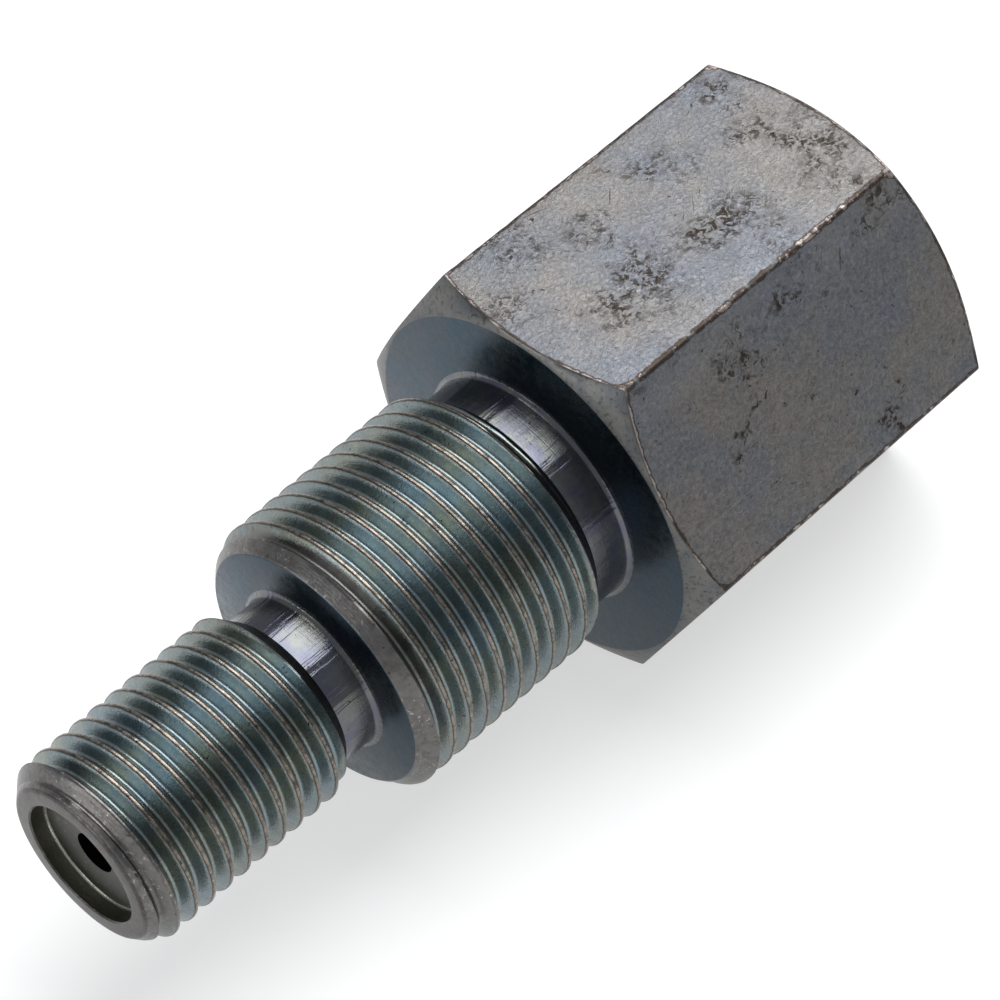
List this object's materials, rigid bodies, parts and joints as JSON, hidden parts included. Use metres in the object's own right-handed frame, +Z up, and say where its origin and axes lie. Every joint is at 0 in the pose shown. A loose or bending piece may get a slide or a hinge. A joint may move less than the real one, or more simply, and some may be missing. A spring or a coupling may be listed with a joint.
{
  "type": "hydraulic test point coupling",
  "caption": "Turned steel coupling with a small male thread and orifice recess, a larger male stud thread, and a hexagon body with a female port.",
  "frame": {"origin": "centre of the tip face, at the mouth of the recess", "axes": "+X along the axis from the tip face to the port face, +Z up; the coupling lies on one flat of its hexagon"},
  "size_m": [0.068, 0.031, 0.027],
  "materials": {
    "plated_steel": "zinc plated and passivated steel, satin, with polished turned faces and tarnished thread crests"
  },
  "bodies": {
    "root": {"coupling_body": "plated_steel"}
  },
  "joints": []
}
